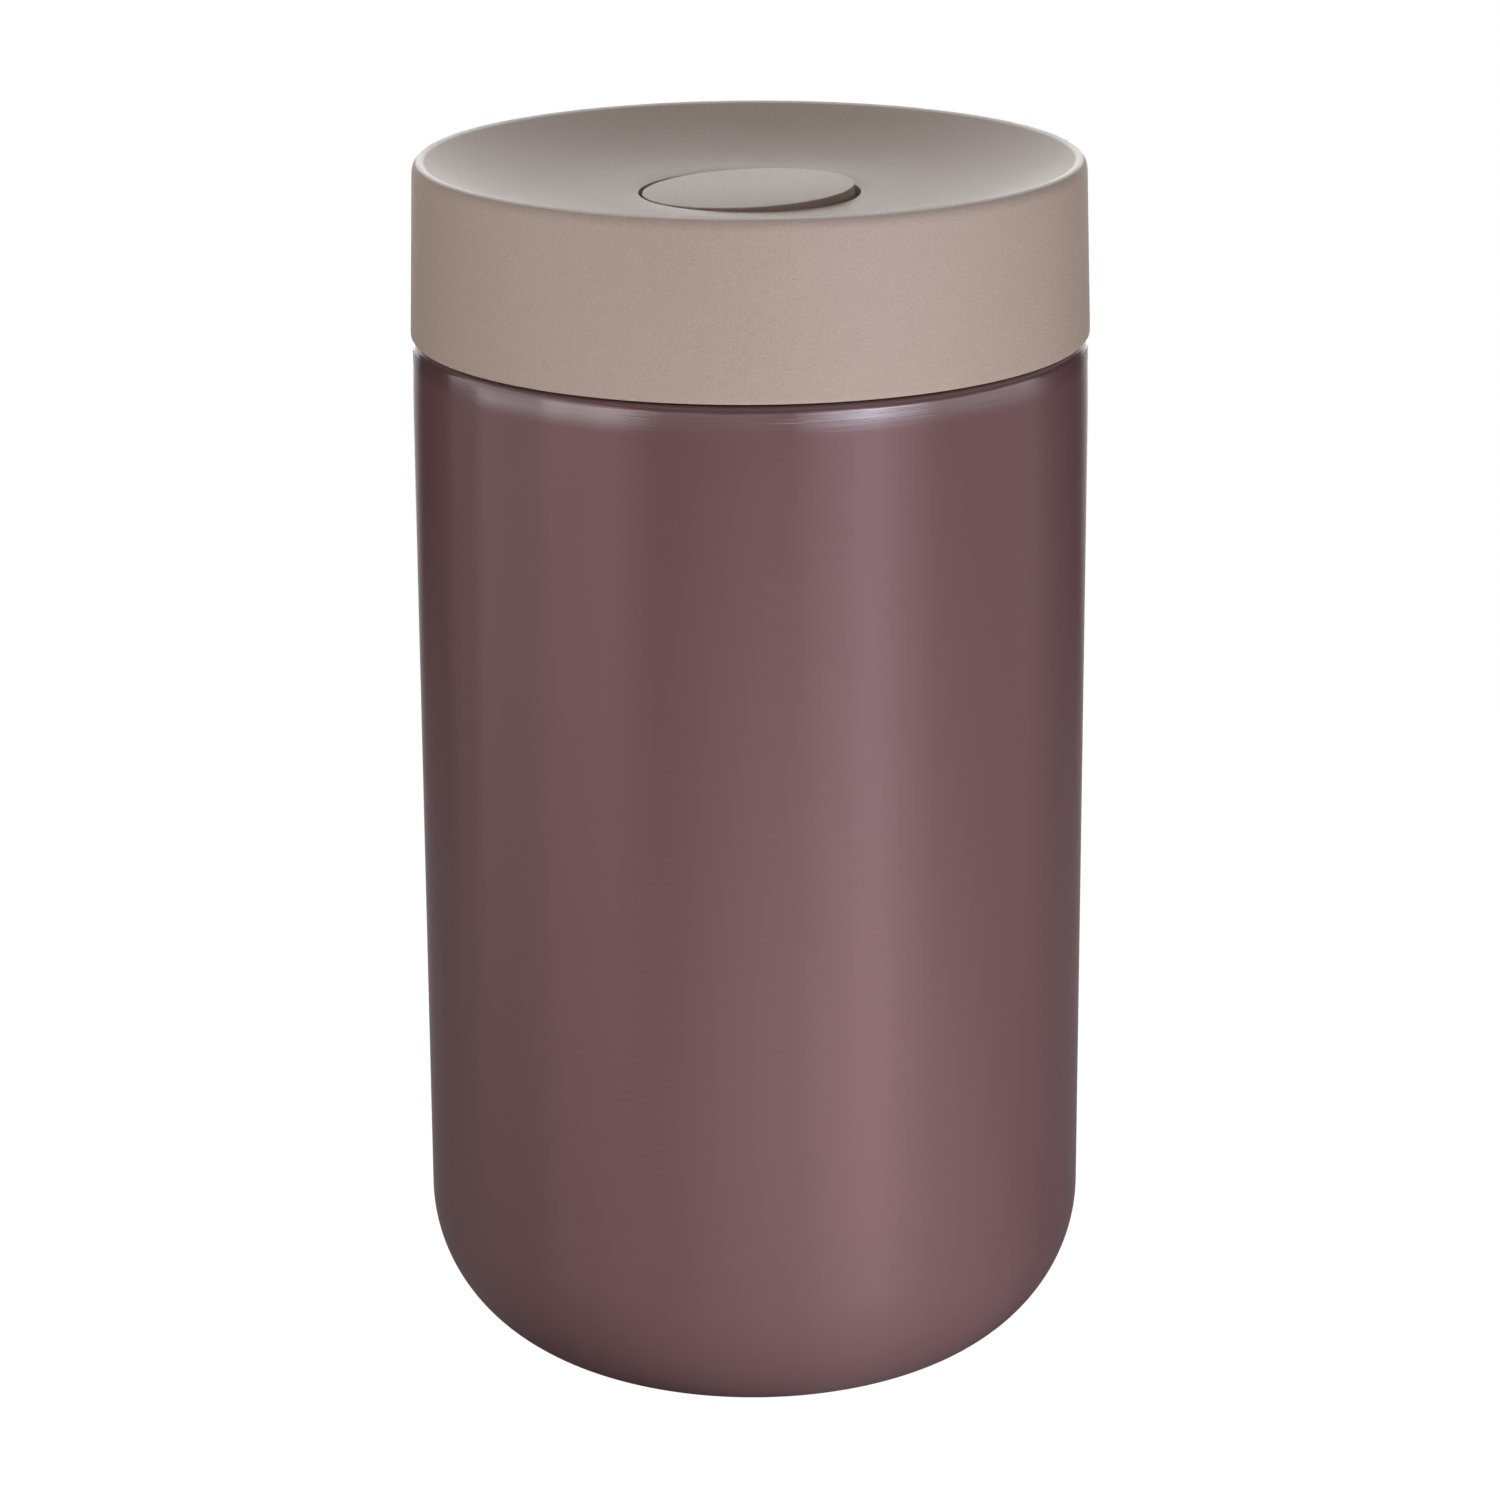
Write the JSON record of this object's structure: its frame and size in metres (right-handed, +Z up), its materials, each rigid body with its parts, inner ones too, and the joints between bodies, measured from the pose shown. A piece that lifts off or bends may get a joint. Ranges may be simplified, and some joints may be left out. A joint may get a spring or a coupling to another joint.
{
  "type": "insulated food container",
  "caption": "Round double-wall steel food container with a rounded base, a dished screw lid and a rocking vent button in the lid.",
  "frame": {"origin": "centre of the foot ring, on the surface the container stands on", "axes": "+Z up along the container's axis, towards the lid; +X towards the free side of the vent button, which is the picture's right; +Y away from the picture's viewer"},
  "size_m": [0.095, 0.095, 0.1745],
  "materials": {
    "lacquered_steel": "satin mauve-brown lacquer over fine turned brushing",
    "bare_steel": "satin stainless steel",
    "copper_foil": "bright copper foil",
    "getter_alloy": "sintered grey alloy",
    "sealing_glass": "dull fused glass bead",
    "foam_adhesive": "matte foam tape",
    "taupe_plastic": "fine matte moulded grain",
    "liner_plastic": "smooth satin moulding",
    "insulating_foam": "closed-cell foam",
    "silicone": "matte translucent silicone"
  },
  "bodies": {
    "vessel": {"outer_shell": "lacquered_steel", "outer_bottom": "lacquered_steel", "inner_shell": "bare_steel", "inner_bottom": "bare_steel", "heat_foil": "copper_foil", "getter": "getter_alloy", "getter_holder": "bare_steel", "vacuum_seal": "sealing_glass", "base_adhesive": "foam_adhesive", "base_cover": "bare_steel"},
    "gasket": {"lid_gasket": "silicone"},
    "lid": {"lid_cap": "taupe_plastic", "lid_liner": "liner_plastic", "lid_foam": "insulating_foam", "hinge_pin": "bare_steel"},
    "button": {"vent_button": "taupe_plastic"},
    "valve": {"valve_stem": "liner_plastic", "valve_seal": "silicone", "stem_clip": "bare_steel", "vent_spring": "bare_steel"}
  },
  "joints": [
    {"name": "lid_rise", "type": "slide", "parent": "vessel", "child": "gasket", "axis": [0, 0, 1], "range_m": [0, 0.024]},
    {"name": "lid_turn", "type": "hinge", "parent": "gasket", "child": "lid", "pos_m": [0, 0, 0.1499], "axis": [0, 0, 1], "range_deg": [0, 720]},
    {"name": "vent_press", "type": "hinge", "parent": "lid", "child": "button", "pos_m": [-0.0116, 0, 0.16546], "axis": [0, 1, 0], "range_deg": [0, 5], "stiffness_Nm_per_rad": 0.05, "springref_deg": -11.46},
    {"name": "valve_slide", "type": "slide", "parent": "lid", "child": "valve", "axis": [0, 0, -1], "range_m": [0, 0.00101], "stiffness_N_per_m": 1, "springref_m": -0.008, "deforming": ["vent_spring"]}
  ],
  "couplings": [
    {"joint": "lid_turn", "follows": "lid_rise", "rad_per_m": 523.6},
    {"joint": "vent_press", "follows": "valve_slide", "rad_per_m": 86.207}
  ]
}
